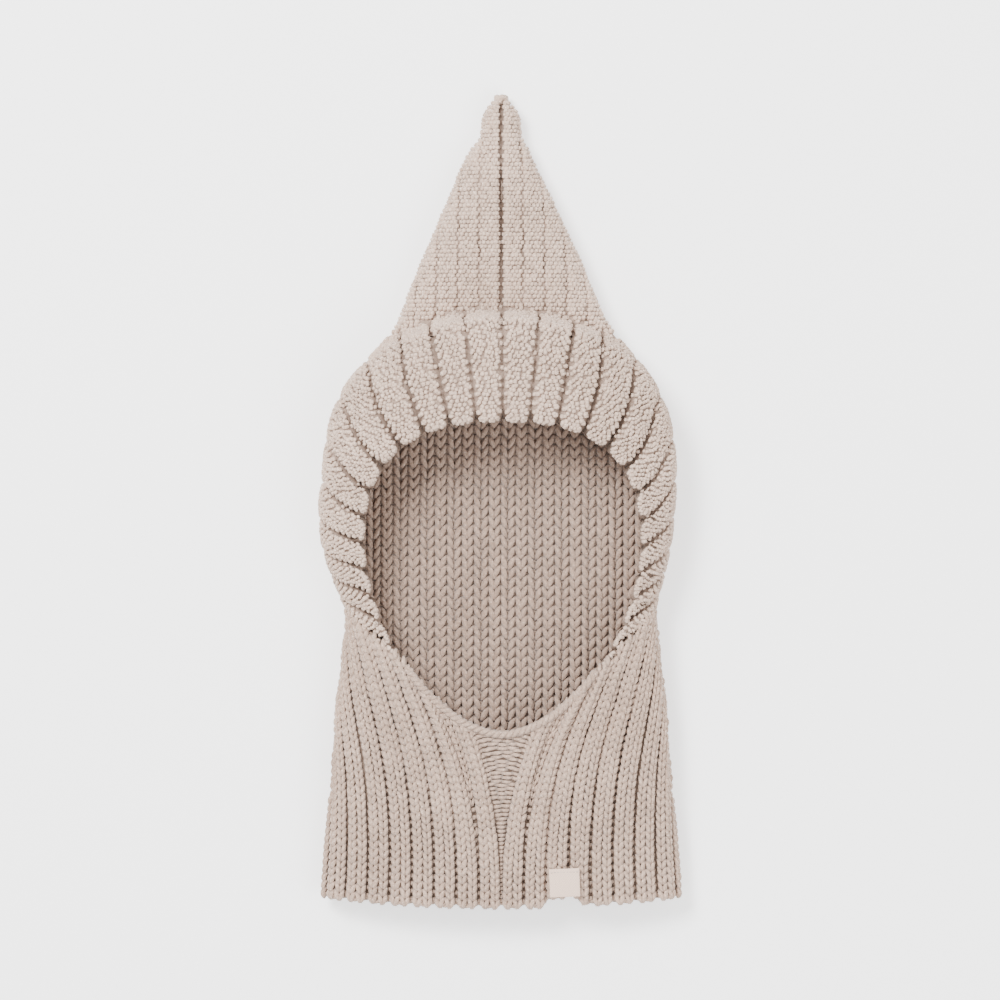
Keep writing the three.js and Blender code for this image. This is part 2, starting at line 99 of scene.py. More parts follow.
crown_rows = [
    (0, hem_rise, 0.42 * hem_rise),
    (0.6 * neck_height, neck_rise, 0.42 * neck_rise),
    (head_foot, 0.76 * head_rise, 0.28 * head_rise),
    (head_foot + 0.3 * head_height, 0.95 * head_rise, 0.38 * head_rise),
    (head_foot + 0.62 * head_height, head_rise, 0.4 * head_rise),
    (head_foot + 0.85 * head_height, head_rise, 0.33 * head_rise),
    (peak_foot, 0.93 * head_rise, 0.45 * peak_rise),
    (peak_foot + 0.4 * peak_height, 0.7 * head_rise, 0.45 * peak_rise),
    (peak_foot + 0.8 * peak_height, 0.4 * head_rise, 0.45 * tip_rise),
    (tip_top, 0.7 * tip_rise, 0.4 * tip_rise),
]
head_crown, rim_height = smooth(crown_rows, 1), smooth(crown_rows, 2)
peak_crown = smooth([
    (0, peak_rise), (peak_foot, peak_rise), (peak_foot + 0.45 * peak_height, 0.9 * peak_rise),
    (peak_foot + 0.78 * peak_height, 1.06 * tip_rise), (peak_foot + 0.9 * peak_height, tip_rise),
    (tip_top, 0.7 * tip_rise),
], 1)


def ease(t):
    t = np.clip(t, 0, 1)
    return t * t * (3 - 2 * t)


def half_width(x, y, inset=0.0):
    """Half the width on the side that x is on. The sign of x alone tells the side."""
    half = np.where(np.asarray(x) < 0, half_left(y), half_right(y))
    if inset == 0:
        return half
    near = np.clip((y - (tip_top - tip_solid - 3 * inset)) / (3 * inset), 0, 1)
    return (half - 1.1 * inset) * np.sqrt(1 - near ** 2)


def across(x, y, inset=0.0):
    """How far out from the middle a place is: 0 in the middle and 1 at the outline."""
    return np.clip(np.abs(x) / np.maximum(half_width(x, y, inset), 1e-6), 0, 1)


def fold_line(x, inset=0.0):
    """Where the face band folds over the foot of the peak."""
    return peak_foot - 11.0 * (x / (peak_base_width / 2)) ** 2 - inset


def front_height(x, y, inset=0.0):
    rim = rim_height(y)
    band = ease((fold_line(x, inset) - y) / 6.0)
    crown = peak_crown(y) + (head_crown(y) - peak_crown(y)) * band - inset
    power = 2.5 - 0.3 * ease((y - head_foot + 40) / 80)
    rise = np.maximum(crown - rim, 0.5)
    return rim + rise * (1 - across(x, y, inset) ** power) ** (1 / power)


def back_height(x, y, inset=0.0):
    rim = rim_height(y) - inset
    half = half_width(x, y, inset)
    bend = np.maximum(np.minimum(1.3 * rim, 0.6 * half), 1e-6)
    inside = np.minimum((1 - across(x, y, inset)) * half, bend)
    return inset + rim * (1 - np.sqrt(np.maximum(1 - (1 - inside / bend) ** 2, 0)))


# The face opening and the seam that joins hood and neck
face_width, face_above, face_below, face_level, face_shift = 137.0, 60.0, 95.0, 34.5, 0.8
seam_drop, seam_power, seam_corner = 68.0, 1.553, 47.0


def face_edge(sign, turn):
    """The edge of the opening, by a turn from its top (0) to its bottom (1)."""
    up, out = np.cos(turn * math.pi), np.abs(np.sin(turn * math.pi))
    power = np.where(up > 0, 2.5, 1.75)
    reach = np.where(up > 0, face_above, face_below)
    x = face_width / 2 * out ** (2 / power)
    y = reach * np.sign(up) * np.abs(up) ** (2 / power)
    return np.stack([face_shift + sign * x, head_foot + face_level + y], -1)


def unit(ways):
    return ways / np.linalg.norm(ways, axis=-1, keepdims=True)


def lengths_along(points):
    return np.r_[0, np.cumsum(np.linalg.norm(np.diff(points, axis=0), axis=1))]


def by_length(points):
    """Reads a polyline by the length from its first point."""
    lengths = lengths_along(points)
    columns = range(points.shape[1])
    return (lambda at: np.stack([np.interp(at, lengths, points[:, c]) for c in columns], -1)), lengths[-1]


def back_seam(x):
    return head_foot - seam_drop * (1 - (np.abs(x) / (waist_width / 2)) ** seam_power)


fine = np.linspace(0, 1, 1201)
side = {}
for sign in (-1, 1):
    edge = face_edge(sign, fine)
    read, _ = by_length(edge)
    corner = fine[(fine > 0.5) & (np.abs(edge[:, 0]) < seam_corner)][0]
    _, to_corner = by_length(face_edge(sign, fine * corner))
    low = 1 - (head_foot - face_edge(sign, corner)[1]) / seam_drop
    side[sign] = {
        "face": read, "corner": corner, "to_corner": to_corner,
        "power": math.log(low) / math.log(seam_corner / (waist_width / 2)),
    }


def front_seam(x):
    power = np.where(np.asarray(x) < 0, side[-1]["power"], side[1]["power"])
    return head_foot - seam_drop * (1 - (np.abs(x) / (waist_width / 2)) ** power)


def outline_reader(sign, inset):
    """Reads one side of the outline by its length from the tip, and gives its length to the waist."""
    top = tip_top - (tip_solid if inset else 0)  # inside, the wall ends under the solid tip

    def down(foot):
        y = top - (top - foot) * fine ** 1.6
        return np.stack([sign * half_width(sign, y, inset), y], -1)

    return by_length(down(head_foot / 2))[0], by_length(down(head_foot))[1]


def bezier(t, *p):
    """Points of a quadratic or cubic curve at the turns t."""
    p = [np.asarray(q, float) for q in p]
    while len(p) > 1:
        p = [a[..., None, :] * (1 - t)[:, None] + b[..., None, :] * t[:, None] if a.ndim == 1
             else a * (1 - t)[:, None] + b * t[:, None] for a, b in zip(p[:-1], p[1:])]
    return p[0]


ribs_per_side, ribs_drawn = 13, 15
last_share = ribs_drawn / ribs_per_side
# How far down the outline each rib's groove starts, as a share of the way from the tip to the waist
STARTS = [(0, 0), (1, 0.2), (2, 0.33), (3, 0.435), (4, 0.53), (5, 0.61), (6, 0.69), (7, 0.763), (8, 0.828),
          (9, 0.883), (10, 0.928), (11, 0.966), (12, 1), (13, 1.034), (15, 1.1)]
band_width, scallop, edge_roll = 60.0, 2.2, 3.2
front_rows = np.linspace(0, 1, 111) ** 1.12
back_rows = np.linspace(0, 1, 61)[1:] ** 1.7
line_start = smooth(STARTS, 1)
nape_level, nape_share = 50.0, 0.8  # where the lines down the back aim at, and how they gather there


def roll(part):
    """The round back of a rib at a place between two grooves: 1 in a groove and 0 on top."""
    off = np.abs(2 * (part % 1) - 1)
    return 1 - np.sqrt(np.maximum(1 - off ** 3.2, 0))


def hood_line(share, inset=0.0):
    """One rib line in plan: from the face edge up the front, over the outline and down the back."""
    sign, s = (1 if share >= 0 else -1), abs(share)
    edges = side[sign]
    read, to_waist = outline_reader(sign, inset)
    start = read(line_start(s * ribs_per_side) * to_waist)
    end, ahead = edges["face"](s * edges["to_corner"]), edges["face"](s * edges["to_corner"] + 2)
    out = np.array([sign * (end[1] - ahead[1]), sign * (ahead[0] - end[0])])
    out /= np.linalg.norm(out)
    end = end + out * scallop * roll(s * ribs_per_side)
    away = start - end
    reach = min(np.linalg.norm(away), band_width)
    # Further out than the fourth rib, the lines come in at a slant and meet the face edge less square
    slant = float(ease((s - 0.33) / 0.5))
    meet = out + (away / np.linalg.norm(away) - out) * slant
    lead = np.array([-sign * 0.45 * float(ease((s - 0.26) / 0.16)), -1])
    lead *= 0.3 * reach / np.linalg.norm(lead)
    front = bezier(np.linspace(1, 0, 500), start, start + lead, end + meet * 0.42 * reach, end)
    foot = np.array([nape_share * sign * (waist_width / 2) * s / last_share, nape_level])
    whole = bezier(np.linspace(0, 1, 400), start, np.array([foot[0], start[1]]), foot)
    past = np.nonzero(whole[:, 1] < back_seam(whole[:, 0]))[0]
    stop = max(past[0] / 399, 0.3) if len(past) else 1.0
    back = bezier(back_rows * stop, start, np.array([foot[0], start[1]]), foot)
    z_front = front_height(front[:, 0], front[:, 1], inset)
    z_back = back_height(back[:, 0], back[:, 1], inset)
    if inset == 0:
        near = np.minimum(np.linalg.norm(front - end, axis=1), edge_roll)
        z_front = z_front - edge_roll + np.sqrt(2 * edge_roll * near - near ** 2)
    read_front, length = by_length(np.c_[front, z_front])
    return np.vstack([read_front(length * front_rows), np.c_[back, z_back]])


def slopes(grid):
    """Unit directions on a grid of points: along each line, across the lines, and out of the cloth."""
    along = np.gradient(grid, axis=1)
    over = np.gradient(grid, axis=0)
    out = np.cross(over, along)
    size = np.linalg.norm(out, axis=2, keepdims=True)
    out = out / np.maximum(size, 1e-9)
    return along, over, out


def peak_height_at(x, y):
    rim = rim_height(y)
    rise = np.maximum(peak_crown(y) - rim, 0.5)
    return rim + rise * (1 - across(x, y) ** 2.2) ** (1 / 2.2)


def between(table, j, i):
    """Reads a table over a grid at places between its lines and rows."""
    j, i = np.clip(j, 0, table.shape[0] - 1.001), np.clip(i, 0, table.shape[1] - 1.001)
    a, b = j.astype(int), i.astype(int)
    f, g = j - a, i - b
    if table.ndim == 3:
        f, g = f[:, None], g[:, None]
    near, far = (table[a, c] * (1 - f) + table[a + 1, c] * f for c in (b, b + 1))
    return near * (1 - g) + far * g


# Ways along the peak's cloth from its middle, for each side, level and turn
peak_step = 0.5
peak_levels = np.arange(peak_foot - 16, tip_top - peak_step, peak_step)
peak_turns = np.sin(np.linspace(0, math.pi / 2, 120))
peak_ways = []
for sign in (-1, 1):
    level = np.repeat(peak_levels[:, None], len(peak_turns), 1)
    x = sign * half_width(sign, level) * peak_turns
    step = np.hypot(np.diff(x, axis=1), np.diff(peak_height_at(x, level), axis=1))
    peak_ways.append(np.c_[np.zeros(len(peak_levels)), np.cumsum(step, axis=1)])


def peak_place(x, y):
    """The way along the cloth from the middle of the peak to these points."""
    level = (y - peak_levels[0]) / peak_step
    turn = np.arcsin(across(x, y)) / (math.pi / 2) * (len(peak_turns) - 1)
    left, right = (between(ways, level, turn) for ways in peak_ways)
    return np.where(x < 0, left, right)


peak_pitch, peak_groove = 11.0, 1.8
seam_open = tip_top - 32  # the level below which the peak's middle seam gapes


def peak_relief(way, y):
    """How far the peak's ribs dip at a way from the middle, deepest in the seam down its middle."""
    seam = np.exp(-(way / 1.5) ** 2) * (0.7 + 1.3 * ease((seam_open - y) / 12))
    return peak_groove * roll(way / peak_pitch) + seam


per_rib = 16
band_groove, band_groove_aside = 3.4, 0.9


def squared(over, along):
    """The steps across a grid's lines, square to the lines."""
    share = np.sum(over * along, axis=-1, keepdims=True)
    return over - along * share / np.maximum(np.sum(along * along, axis=-1, keepdims=True), 1e-9)


def facing(height_at, x, y, side_out):
    """The way out of the cloth at these points, from the slope of its height."""
    e = 0.15
    dx = (height_at(x + e, y) - height_at(x - e, y)) / (2 * e)
    dy = (height_at(x, y + e) - height_at(x, y - e)) / (2 * e)
    n = side_out * np.stack([-dx, -dy, np.ones_like(dx)], -1)
    return unit(n)


def hood_grid(shares, inset=0.0):
    """Points of the hood's cloth, one line for each share, with the ribs pressed in outside."""
    grid = np.array([hood_line(s, inset) for s in shares])
    along, over, out = slopes(grid)
    deep = np.zeros(grid.shape[:2])
    if inset == 0:
        s = np.abs(shares)[:, None]
        x, y = grid[..., 0], grid[..., 1]
        in_front = np.arange(grid.shape[1]) < len(front_rows)
        plain = np.where(in_front[:, None], facing(front_height, x, y, 1), facing(back_height, x, y, -1))
        from_edge = np.cumsum(np.linalg.norm(along, axis=2), axis=1)[..., None]
        out = unit(out + (plain - out) * ease((from_edge - 5) / 3))
        on_band = ease((fold_line(x) - y + 1.0) / 1.5)
        fade = 0.3 + 0.7 * in_front * ease((1 - across(x, y)) / 0.1)
        deep = (band_groove + band_groove_aside * ease((s - 0.15) / 0.2)) * fade * roll(s * ribs_per_side)
        tall = np.where(in_front & (on_band < 1), peak_relief(peak_place(x, y), y), 0)
        deep = deep * on_band + tall * (1 - on_band)
        grid = grid - out * deep[..., None]
        over = squared(over, along)
        wide = np.maximum(np.linalg.norm(over, axis=2, keepdims=True), 1e-6)
        lean = np.clip(np.gradient(deep, axis=0)[..., None] / wide, -1.5, 1.5)
        out = unit(out + lean * over / wide)
    return grid, along, over, out, deep


def spread(deep, reach):
    """A groove's depth spread to the lines beside it, for the soft ridge that it makes inside."""
    shifts = range(-reach, reach + 1)
    widest = np.max([np.roll(deep, k, axis=0) for k in shifts], axis=0)
    return np.mean([np.roll(widest, k, axis=0) for k in shifts], axis=0)


frame_shift = np.array([0.6, -tip_top / 2, 0])


def to_frame(points):
    """From millimetres with the hem at Y 0 to the frame's metres."""
    return (np.asarray(points, float) + frame_shift) / 1000


def placed(name, data):
    """A new object in the scene."""
    made = bpy.data.objects.new(name, data)
    bpy.context.scene.collection.objects.link(made)
    return made


def mesh_piece(name, points, faces, uv=None):
    """A smooth mesh object at the origin, of points in metres."""
    mesh = bpy.data.meshes.new(name)
    mesh.from_pydata([tuple(p) for p in points], [], [tuple(int(i) for i in f) for f in faces])
    mesh.polygons.foreach_set("use_smooth", [True] * len(mesh.polygons))
    if uv is not None:
        layer = mesh.uv_layers.new(name="UVMap")
        loops = np.zeros(len(mesh.loops), np.int32)
        mesh.loops.foreach_get("vertex_index", loops)
        layer.data.foreach_set("uv", np.asarray(uv, np.float32)[loops].ravel())
    mesh.update()
    return placed(name, mesh)


def shell(name, outer, inner, keep, wrap=False, groove=None):
    """A closed piece of cloth between two grids of points, where keep says which cells it has."""
    lines, rows = outer.shape[:2]
    index = np.arange(lines * rows).reshape(lines, rows)
    nexts = np.roll(index, -1, axis=0) if wrap else index[1:]
    firsts = index if wrap else index[:-1]
    quads = np.stack([firsts[:, :-1], nexts[:, :-1], nexts[:, 1:], firsts[:, 1:]], -1)[keep]
    edges = np.concatenate([quads[:, [i, (i + 1) % 4]] for i in range(4)])
    code = edges[:, 0] * (lines * rows) + edges[:, 1]
    back = edges[:, 1] * (lines * rows) + edges[:, 0]
    rim = edges[~np.isin(code, back)]
    n = lines * rows
    walls = np.stack([rim[:, 1], rim[:, 0], rim[:, 0] + n, rim[:, 1] + n], -1)
    faces = np.concatenate([quads, quads[:, ::-1] + n, walls])
    points = to_frame(np.concatenate([outer.reshape(-1, 3), inner.reshape(-1, 3)]))
    used, faces = np.unique(faces, return_inverse=True)
    faces = faces.reshape(-1, 4)
    points = points[used]
    a, b, c, d = (points[faces[:, k]] for k in range(4))
    volume = np.einsum("ij,ij->", a, np.cross(b, c)) + np.einsum("ij,ij->", a, np.cross(c, d))
    if volume < 0:
        faces = faces[:, ::-1]
    piece = mesh_piece(name, points, faces)
    # The groove values are painted shade, kept on the points for the ground's colour
    if groove is not None:
        values = np.r_[groove.ravel(), np.zeros(n)][used]
        kept = piece.data.attributes.new("groove", "FLOAT", "POINT")
        kept.data.foreach_set("value", values.astype(np.float32))
    return piece


class Wire:
    """A socket in a material, so that sums of sockets and numbers read as plain arithmetic."""

    def __init__(self, tree, socket=None):
        self.tree, self.socket = tree, socket

    def node(self, kind, settings=None, values=None, out=0):
        made = self.tree.nodes.new(kind)
        for key, value in (settings or {}).items():
            setattr(made, key, value)
        for key, value in (values or {}).items():
            if isinstance(value, Wire):
                self.tree.links.new(value.socket, made.inputs[key])
            else:
                made.inputs[key].default_value = value
        return Wire(self.tree, made.outputs[out])

    def sum(self, how, *others):
        values = {i: v for i, v in enumerate(others)}
        return self.node("ShaderNodeMath", {"operation": how}, values)

    def __add__(self, other):
        return self.sum("ADD", self, other)

    def __sub__(self, other):
        return self.sum("SUBTRACT", self, other)

    def __mul__(self, other):
        return self.sum("MULTIPLY", self, other)

    __radd__ = __add__
    __rmul__ = __mul__

    def __rsub__(self, other):
        return self.sum("SUBTRACT", other, self)

    def clamp(self):
        return self.node("ShaderNodeClamp", None, {0: self})

    def split(self):
        """The three parts of a vector."""
        one = self.node("ShaderNodeSeparateXYZ", None, {0: self})
        return [Wire(self.tree, socket) for socket in one.socket.node.outputs]

    def noise(self, scale, detail):
        return self.node("ShaderNodeTexNoise", None, {"Vector": self, "Scale": scale, "Detail": detail})

    def into(self, shader, label):
        self.tree.links.new(self.socket, shader.inputs[label])

    def raised(self, shader, strength, distance):
        """Adds fine relief of this height to a shader."""
        values = {"Strength": strength, "Distance": distance, "Height": self}
        self.node("ShaderNodeBump", None, values).into(shader, "Normal")

    def mix(self, low, high):
        """From one colour to the other as this goes from 0 to 1."""
        return self.node("ShaderNodeMix", {"data_type": "RGBA"}, {0: self, 6: low, 7: high}, 2)


def cloth(name, sheen=0.25):
    """A new matt cloth material: its shader, and a wire to start from."""
    made = bpy.data.materials.new(name)
    made.use_nodes = True
    shader = made.node_tree.nodes["Principled BSDF"]
    for label, value in (("Roughness", 0.9), ("Specular IOR Level", 0.15), ("Sheen Weight", sheen),
                         ("Sheen Roughness", 0.6)):
        shader.inputs[label].default_value = value
    return made, shader, Wire(made.node_tree).node("ShaderNodeTexCoord", out="Object")


def colour(r, g, b):
    """A paint colour from 0 to 255 as the shader's linear one."""
    return (*[((v / 255 + 0.055) / 1.055) ** 2.4 for v in (r, g, b)], 1.0)


def dyed(where, dark, light, pale):
    """Heathered yarn: flecks of a paler and a darker shade, and slow changes over the piece."""
    fleck, slow = where.noise(900.0, 2.0), where.noise(28.0, 2.0)
    base = ((fleck - 0.5) * 1.5 + (slow - 0.5) * 0.7 + 0.5).clamp().mix(dark, light)
    return ((where.noise(1700.0, 1.0) - 0.58) * 5).clamp().mix(base, pale)


def ground_cloth(name, dark, light, pale):
    """The wall behind the stitches, with painted shade that darkens it as its grooves go deeper."""
    made, shader, where = cloth(name, sheen=0.0)
    groove = where.node("ShaderNodeAttribute", {"attribute_name": "groove"}, None, 2)
    shade = dyed(where, dark, light, pale)
    # Painted shade: the groove attribute mixes the colour towards dark brown deep in the grooves
    (groove * 0.8).clamp().mix(shade, colour(74, 58, 48)).into(shader, "Base Color")
    where.noise(1300.0, 3.0).raised(shader, 0.6, 0.0006)
    return made


# The ground's colours are darker than the yarn's: painted shade of the crevices between stitches
purl_ground = ground_cloth("purl_ground", colour(130, 109, 96), colour(163, 141, 127), colour(187, 167, 154))

ground_depth, deeper_behind = 1.5, 0.9
inner_inset = wall - 0.9
shares = np.arange(-ribs_drawn * per_rib, ribs_drawn * per_rib + 1) / (ribs_per_side * per_rib)
hood_lines = hood_grid(shares)
some = np.r_[0:len(front_rows):2, len(front_rows) - 1:len(front_rows) + len(back_rows):2]
skin, skin_out, deep = [hood_lines[k][::2][:, some] for k in (0, 3, 4)]
on_back = ease((some - len(front_rows) - 2) / 6)[None, :, None]
outer = skin - skin_out * (ground_depth + deeper_behind * on_back)
inner, _, _, inner_out, _ = [table[:, some] for table in hood_grid(shares[::2], inner_inset)]
ridge = np.maximum(spread(deep, 2) + ground_depth + 1.0 - inner_inset, 0)
inner = inner - inner_out * ridge[..., None] * (1 - on_back)

# The cells that the wall has: those above the seam, a little past it, and none that jumps across it
past_seam, further_aside, widest_cell = 0.8, 1.8, 9
mid = (skin[:-1, :-1] + skin[1:, 1:]) / 2
on_front = some[None, :-1] < len(front_rows) - 1
seam_here = np.where(on_front, front_seam(mid[..., 0]), back_seam(mid[..., 0]))
keep = mid[..., 1] > seam_here - past_seam - further_aside * (across(mid[..., 0], mid[..., 1]) > 0.85)
ends = (slice(None, -1), slice(1, None))
corners = [grid[a, b, 0] for grid in (skin, inner) for b in ends for a in ends]
keep &= np.ptp(corners, axis=0) < widest_cell

# Painted shade darkens the grooves with their depth: less so in the middle of the band
shadow = (deep / 4.0) ** 2 * (0.35 + 0.65 * ease((np.abs(shares[::2]) - 0.06) / 0.14))[:, None]
shadow = np.where(skin[..., 1] > fold_line(skin[..., 0]), np.minimum((deep / 2.9) ** 2, 1), shadow)
hood_ground = shell("hood_ground", outer, inner, keep, groove=shadow)
hood_ground.data.materials.append(purl_ground)
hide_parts("hood")
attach(hood_ground, "root")

# THE HOOD'S STITCHES
# Rows of purl stitches, each a short arch of soft yarn over the row below, set close together.
# They cover the peak, the band and the back, and roll round the rib ends at the face opening.


def yarn(points, radii, sides, twist=1.0):
    """A closed tube of yarn along a line, with its length and its turn as the UV map."""
    points, radii = np.asarray(points, float), np.asarray(radii, float)
    along = unit(np.gradient(points, axis=0))
    first = np.cross(along, [0, 0, 1.0])
    first[np.linalg.norm(first, axis=1) < 1e-3] = [1, 0, 0]
    first = unit(first)
    second = np.cross(along, first)
    turns = np.arange(sides) / sides * 2 * math.pi
    ring = np.cos(turns)[None, :, None] * first[:, None] + np.sin(turns)[None, :, None] * second[:, None]
    made = points[:, None] + ring * radii[:, None, None]
    n = len(points)
    index = np.arange(n * sides).reshape(n, sides)
    ahead = np.roll(index, -1, axis=1)
    faces = np.stack([index[:-1], ahead[:-1], ahead[1:], index[1:]], -1).reshape(-1, 4).tolist()
    faces += [index[0][::-1].tolist(), index[-1].tolist()]
    lengths = lengths_along(points)
    uv = np.stack(np.broadcast_arrays(lengths[:, None] * twist, turns[None, :] / (2 * math.pi)), -1)
    return made.reshape(-1, 3), faces, uv.reshape(-1, 2)


def joined(*tubes):
    """Several tubes as one mesh."""
    points, faces, uvs, n = [], [], [], 0
    for p, f, uv in tubes:
        points.append(p)
        faces += [[i + n for i in face] for face in f]
        uvs.append(uv)
        n += len(p)
    return np.vstack(points), faces, np.vstack(uvs)


def planting(name):
    """Geometry nodes that set a stitch on each point, turned to the cloth and a little uneven."""
    group = bpy.data.node_groups.new(name, "GeometryNodeTree")
    sockets = {}
    face = group.interface
    for label, kind in (("Geometry", "NodeSocketGeometry"), ("Stitch", "NodeSocketObject"),
                        ("Yarn", "NodeSocketMaterial"), ("Turn Unevenness", "NodeSocketFloat"),
                        ("Size Unevenness", "NodeSocketFloat"), ("Seed", "NodeSocketInt")):
        sockets[label] = face.new_socket(name=label, in_out="INPUT", socket_type=kind).identifier
    face.new_socket(name="Geometry", in_out="OUTPUT", socket_type="NodeSocketGeometry")

    def add(kind, links=None, **settings):
        made = group.nodes.new(kind)
        for key, value in settings.items():
            setattr(made, key, value)
        for key, value in (links or {}).items():
            if isinstance(value, bpy.types.NodeSocket):
                group.links.new(value, made.inputs[key])
            else:
                made.inputs[key].default_value = value
        return made

    def attribute(label):
        return add("GeometryNodeInputNamedAttribute", {"Name": label}, data_type="FLOAT_VECTOR").outputs[0]

    start = add("NodeGroupInput").outputs
    upright = add("FunctionNodeAlignRotationToVector", {"Vector": attribute("out")}, axis="Z")
    facing = add("FunctionNodeAlignRotationToVector",
                 {"Rotation": upright.outputs[0], "Vector": attribute("up")}, axis="Y", pivot_axis="Z")
    back = add("ShaderNodeMath", {0: start["Turn Unevenness"], 1: -1.0}, operation="MULTIPLY")
    turn = add("FunctionNodeRandomValue", data_type="FLOAT_VECTOR")
    for i, end in ((0, back.outputs[0]), (1, start["Turn Unevenness"])):
        spread = add("ShaderNodeCombineXYZ", {0: end, 1: end, 2: end})
        group.links.new(spread.outputs[0], turn.inputs[i])
    group.links.new(start["Seed"], turn.inputs["Seed"])
    wobble = add("FunctionNodeEulerToRotation", {0: turn.outputs[0]})
    turned = add("FunctionNodeRotateRotation", {0: facing.outputs[0], 1: wobble.outputs[0]},
                 rotation_space="LOCAL")
    less = add("ShaderNodeMath", {0: 1.0, 1: start["Size Unevenness"]}, operation="SUBTRACT")
    more = add("ShaderNodeMath", {0: 1.0, 1: start["Size Unevenness"]}, operation="ADD")
    grow = add("FunctionNodeRandomValue", data_type="FLOAT")
    group.links.new(less.outputs[0], grow.inputs[2])
    group.links.new(more.outputs[0], grow.inputs[3])
    group.links.new(start["Seed"], grow.inputs["Seed"])
    scale = add("ShaderNodeVectorMath", {0: attribute("size"), "Scale": grow.outputs[1]}, operation="SCALE")
    stitch = add("GeometryNodeObjectInfo", {"Object": start["Stitch"]})
    planted = add("GeometryNodeInstanceOnPoints", {
        "Points": start["Geometry"], "Instance": stitch.outputs["Geometry"],
        "Rotation": turned.outputs[0], "Scale": scale.outputs[0]})
    tone = add("FunctionNodeRandomValue", data_type="FLOAT")
    tone.inputs[2].default_value, tone.inputs[3].default_value = 0.0, 1.0
    group.links.new(start["Seed"], tone.inputs["Seed"])
    kept = add("GeometryNodeStoreNamedAttribute", {
        "Geometry": planted.outputs[0], "Name": "tone", "Value": tone.outputs[1]},
        data_type="FLOAT", domain="INSTANCE")
    real = add("GeometryNodeRealizeInstances", {"Geometry": kept.outputs[0]})
    dressed = add("GeometryNodeSetMaterial", {"Geometry": real.outputs[0], "Material": start["Yarn"]})
    end = add("NodeGroupOutput")
    group.links.new(dressed.outputs[0], end.inputs[0])
    return group, sockets


plant, plant_sockets = planting("stitches_on_cloth")


def stitched(name, points, out, up, size, stitch, material, turn=0.08, grow=0.07, seed=1):
    """A piece of real stitches: one at each point, as a plain mesh that rides on the part."""
    bed = bpy.data.meshes.new(name + "_places")
    bed.from_pydata([tuple(p) for p in to_frame(points)], [], [])
    for label, values in (("out", out), ("up", up), ("size", size)):
        bed.attributes.new(label, "FLOAT_VECTOR", "POINT").data.foreach_set(
            "vector", np.asarray(values, np.float32).ravel())
    holder = placed(name + "_places", bed)
    source = mesh_piece(name + "_one", stitch[0] / 1000, stitch[1], stitch[2])
    modifier = holder.modifiers.new("Stitches", "NODES")
    modifier.node_group = plant
    for label, value in (("Stitch", source), ("Yarn", material), ("Turn Unevenness", turn),
                         ("Size Unevenness", grow), ("Seed", seed)):
        modifier[plant_sockets[label]] = value
    graph = bpy.context.evaluated_depsgraph_get()
    mesh = bpy.data.meshes.new_from_object(holder.evaluated_get(graph), depsgraph=graph)
    mesh.name = name
    bpy.data.objects.remove(holder)
    bpy.data.objects.remove(source)
    mesh.polygons.foreach_set("use_smooth", [True] * len(mesh.polygons))
    piece = placed(name, mesh)
    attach(piece, "root")
    return piece


def yarn_material(name, dark, light, pale):
    """Soft plied yarn: heathered colour, painted shade between its plies, each stitch a tone of its own."""
    plies, twist = 2.0, 0.35
    made, shader, where = cloth(name)
    length, turn, _ = where.node("ShaderNodeUVMap", {"uv_map": "UVMap"}).split()
    angle = (length * twist + turn * plies) * (2 * math.pi)
    ply = angle.sum("SINE", angle) * 0.5 + 0.5
    tone = where.node("ShaderNodeAttribute", {"attribute_name": "tone"}, None, 2)
    run = where.node("ShaderNodeCombineXYZ", None, {0: length * 0.5, 1: turn * 7, 2: tone * 90})
    # The ply wave is painted shade between the plies; tone and the run noise are the yarn's own uneven
    # colour
    shade = (ply * 0.14 + (tone - 0.5) * 0.22 + (run.noise(1.6, 1.0) - 0.5) * 0.9 + 0.5).clamp()
    toned = where.node("ShaderNodeMix", {"data_type": "RGBA", "blend_type": "MULTIPLY"},
                       {0: 1.0, 6: dyed(where, dark, light, pale),
                        7: shade.mix((0.72, 0.72, 0.72, 1), (1.2, 1.2, 1.2, 1))}, 2)
    toned.into(shader, "Base Color")
    (ply * 0.6 + where.noise(2200.0, 2.0) * 0.8).raised(shader, 0.5, 0.0004)
    return made


purl_yarn = yarn_material("purl_yarn", colour(158, 133, 115), colour(208, 182, 164), colour(234, 215, 200))

# One small round loop of a purl stitch: its ends go down into the cloth. The back has a plainer one
t = np.linspace(-1, 1, 4)
loop = yarn(np.stack([1.1 * t, 0.2 - 0.5 * np.abs(t) ** 2, 0.45 - 1.15 * np.abs(t) ** 2.2], -1),
            1.28 - 0.36 * np.abs(t) ** 2, 5)
plain_loop = yarn(np.stack([1.2 * t[::2], 0.2 - 0.5 * np.abs(t[::2]), 0.5 - 1.2 * np.abs(t[::2])], -1),
                  1.35 - 0.4 * np.abs(t[::2]), 5)
row_height, loop_wide, least_wide = 4.15, 3.6, 2.5
half_row = row_height / 2
fewest, most = 3, 14  # loops side by side on one rib of the band
loops_sunk, loops_sunk_behind = 1.0, 1.95
off_aside, off_up = 0.12, 0.14  # how unevenly the loops of the peak and the back lie
chance = np.random.default_rng(5)


def sample(tables, j, i):
    return [between(table, j, i) for table in tables]


def stacked(*values):
    """Numbers and rows of numbers side by side, as the columns of one table."""
    return np.stack(np.broadcast_arrays(*[np.asarray(v, float) for v in values]), -1)


def even_rows(line, high, first):
    """Row numbers at even steps along one line of points."""
    lengths = lengths_along(line)
    return np.interp(np.arange(first, lengths[-1], high), lengths, np.arange(len(line)))


def in_cloth(points, out, up, size, sink):
    """Places for stitches, sunk a little into the cloth."""
    return points - unit(out) * sink, unit(out), up, size


def together(parts):
    return [np.concatenate(column) for column in zip(*parts)]


peak_start = peak_foot - 12  # the level where the rows of the peak start, under the fold of the band
seam_shut = tip_top - 73  # the level where the peak's middle seam is nearly shut


